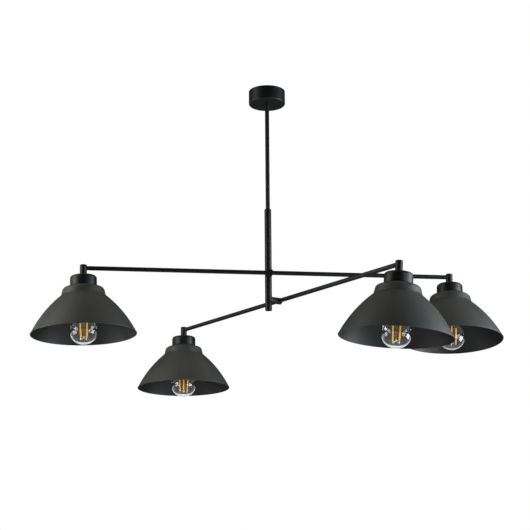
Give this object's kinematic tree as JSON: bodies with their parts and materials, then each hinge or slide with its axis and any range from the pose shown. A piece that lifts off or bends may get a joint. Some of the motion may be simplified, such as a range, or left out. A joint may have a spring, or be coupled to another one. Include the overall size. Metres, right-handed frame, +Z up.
{
  "type": "pool table lamp",
  "caption": "Ceiling lamp for over a billiards table: domed metal shades with bare clear bulbs on straight crossing arms carried by a central stem.",
  "frame": {"origin": "centre of the ceiling plane, midway between the two screw slots of the ceiling bracket", "axes": "+Z up into the ceiling, +X along the upper arm towards the right head, -Y the side the upper arm is carried on"},
  "size_m": [1.0722, 0.9846, 0.6869],
  "materials": {
    "black_coat": "satin black powder coat",
    "shade_coat": "matt charcoal powder coat",
    "zinc_steel": "bright zinc plate",
    "black_oxide": "black oxide",
    "brass": "plain brass",
    "nickel": "nickel plate",
    "phenolic": "moulded black phenolic",
    "terminal_plastic": "natural nylon",
    "bulb_glass": "clear polished",
    "filament": "amber phosphor on glass"
  },
  "bodies": {
    "ceiling_mount": {"ceiling_bracket": "zinc_steel", "canopy_cup": "black_coat", "terminal_block": "terminal_plastic", "terminal_screws": "brass", "earth_screw": "brass"},
    "column": {"down_rod": "black_coat", "rod_nuts": "zinc_steel", "canopy_collar": "black_coat", "collar_screw": "black_oxide", "stem_bush": "black_coat", "upper_stem": "black_coat", "upper_boss": "black_coat", "upper_pivot": "zinc_steel"},
    "lower_column": {"lower_stem": "black_coat", "swivel_nipple": "zinc_steel", "stem_cap": "black_coat", "lower_boss": "black_coat", "lower_pivot": "zinc_steel"},
    "upper_cross": {"upper_hub": "black_coat", "upper_hub_cap": "black_coat", "upper_arm": "black_coat"},
    "lower_cross": {"lower_hub": "black_coat", "lower_hub_cap": "black_coat", "lower_arm": "black_coat"},
    "right_head": {"right_knuckle": "black_coat", "right_knuckle_screw": "black_oxide", "right_cup": "black_coat", "right_lampholder": "phenolic", "right_shade_ring": "phenolic", "right_shade": "shade_coat", "right_bulb_glass": "bulb_glass", "right_bulb_cap": "nickel", "right_bulb_filaments": "filament"},
    "left_head": {"left_knuckle": "black_coat", "left_knuckle_screw": "black_oxide", "left_cup": "black_coat", "left_lampholder": "phenolic", "left_shade_ring": "phenolic", "left_shade": "shade_coat", "left_bulb_glass": "bulb_glass", "left_bulb_cap": "nickel", "left_bulb_filaments": "filament"},
    "back_head": {"back_knuckle": "black_coat", "back_knuckle_screw": "black_oxide", "back_cup": "black_coat", "back_lampholder": "phenolic", "back_shade_ring": "phenolic", "back_shade": "shade_coat", "back_bulb_glass": "bulb_glass", "back_bulb_cap": "nickel", "back_bulb_filaments": "filament"},
    "front_head": {"front_knuckle": "black_coat", "front_knuckle_screw": "black_oxide", "front_cup": "black_coat", "front_lampholder": "phenolic", "front_shade_ring": "phenolic", "front_shade": "shade_coat", "front_bulb_glass": "bulb_glass", "front_bulb_cap": "nickel", "front_bulb_filaments": "filament"}
  },
  "joints": [
    {"name": "column_swivel", "type": "hinge", "parent": "ceiling_mount", "child": "column", "pos_m": [0, 0, -0.012], "axis": [0, 0, 1], "range_deg": [-170, 170]},
    {"name": "crossing_swivel", "type": "hinge", "parent": "column", "child": "lower_column", "pos_m": [0, 0, -0.485], "axis": [0, 0, 1], "range_deg": [-67, 13]},
    {"name": "upper_tilt", "type": "hinge", "parent": "column", "child": "upper_cross", "pos_m": [0, -0.028, -0.455], "axis": [0, -1, 0], "range_deg": [-20, 20]},
    {"name": "lower_tilt", "type": "hinge", "parent": "lower_column", "child": "lower_cross", "pos_m": [0.02495, 0.01271, -0.512], "axis": [0.891, 0.454, 0], "range_deg": [-20, 20]},
    {"name": "right_roll", "type": "hinge", "parent": "upper_cross", "child": "right_head", "pos_m": [0.424, -0.028, -0.455], "axis": [1, 0, 0], "range_deg": [-19.2, 30.8]},
    {"name": "left_roll", "type": "hinge", "parent": "upper_cross", "child": "left_head", "pos_m": [-0.424, -0.028, -0.455], "axis": [-1, 0, 0], "range_deg": [-26.8, 23.2]},
    {"name": "back_roll", "type": "hinge", "parent": "lower_cross", "child": "back_head", "pos_m": [-0.16754, 0.3905, -0.512], "axis": [-0.454, 0.891, 0], "range_deg": [-25.8, 24.2]},
    {"name": "front_roll", "type": "hinge", "parent": "lower_cross", "child": "front_head", "pos_m": [0.21744, -0.36507, -0.512], "axis": [0.454, -0.891, 0], "range_deg": [-21.2, 28.8]}
  ]
}
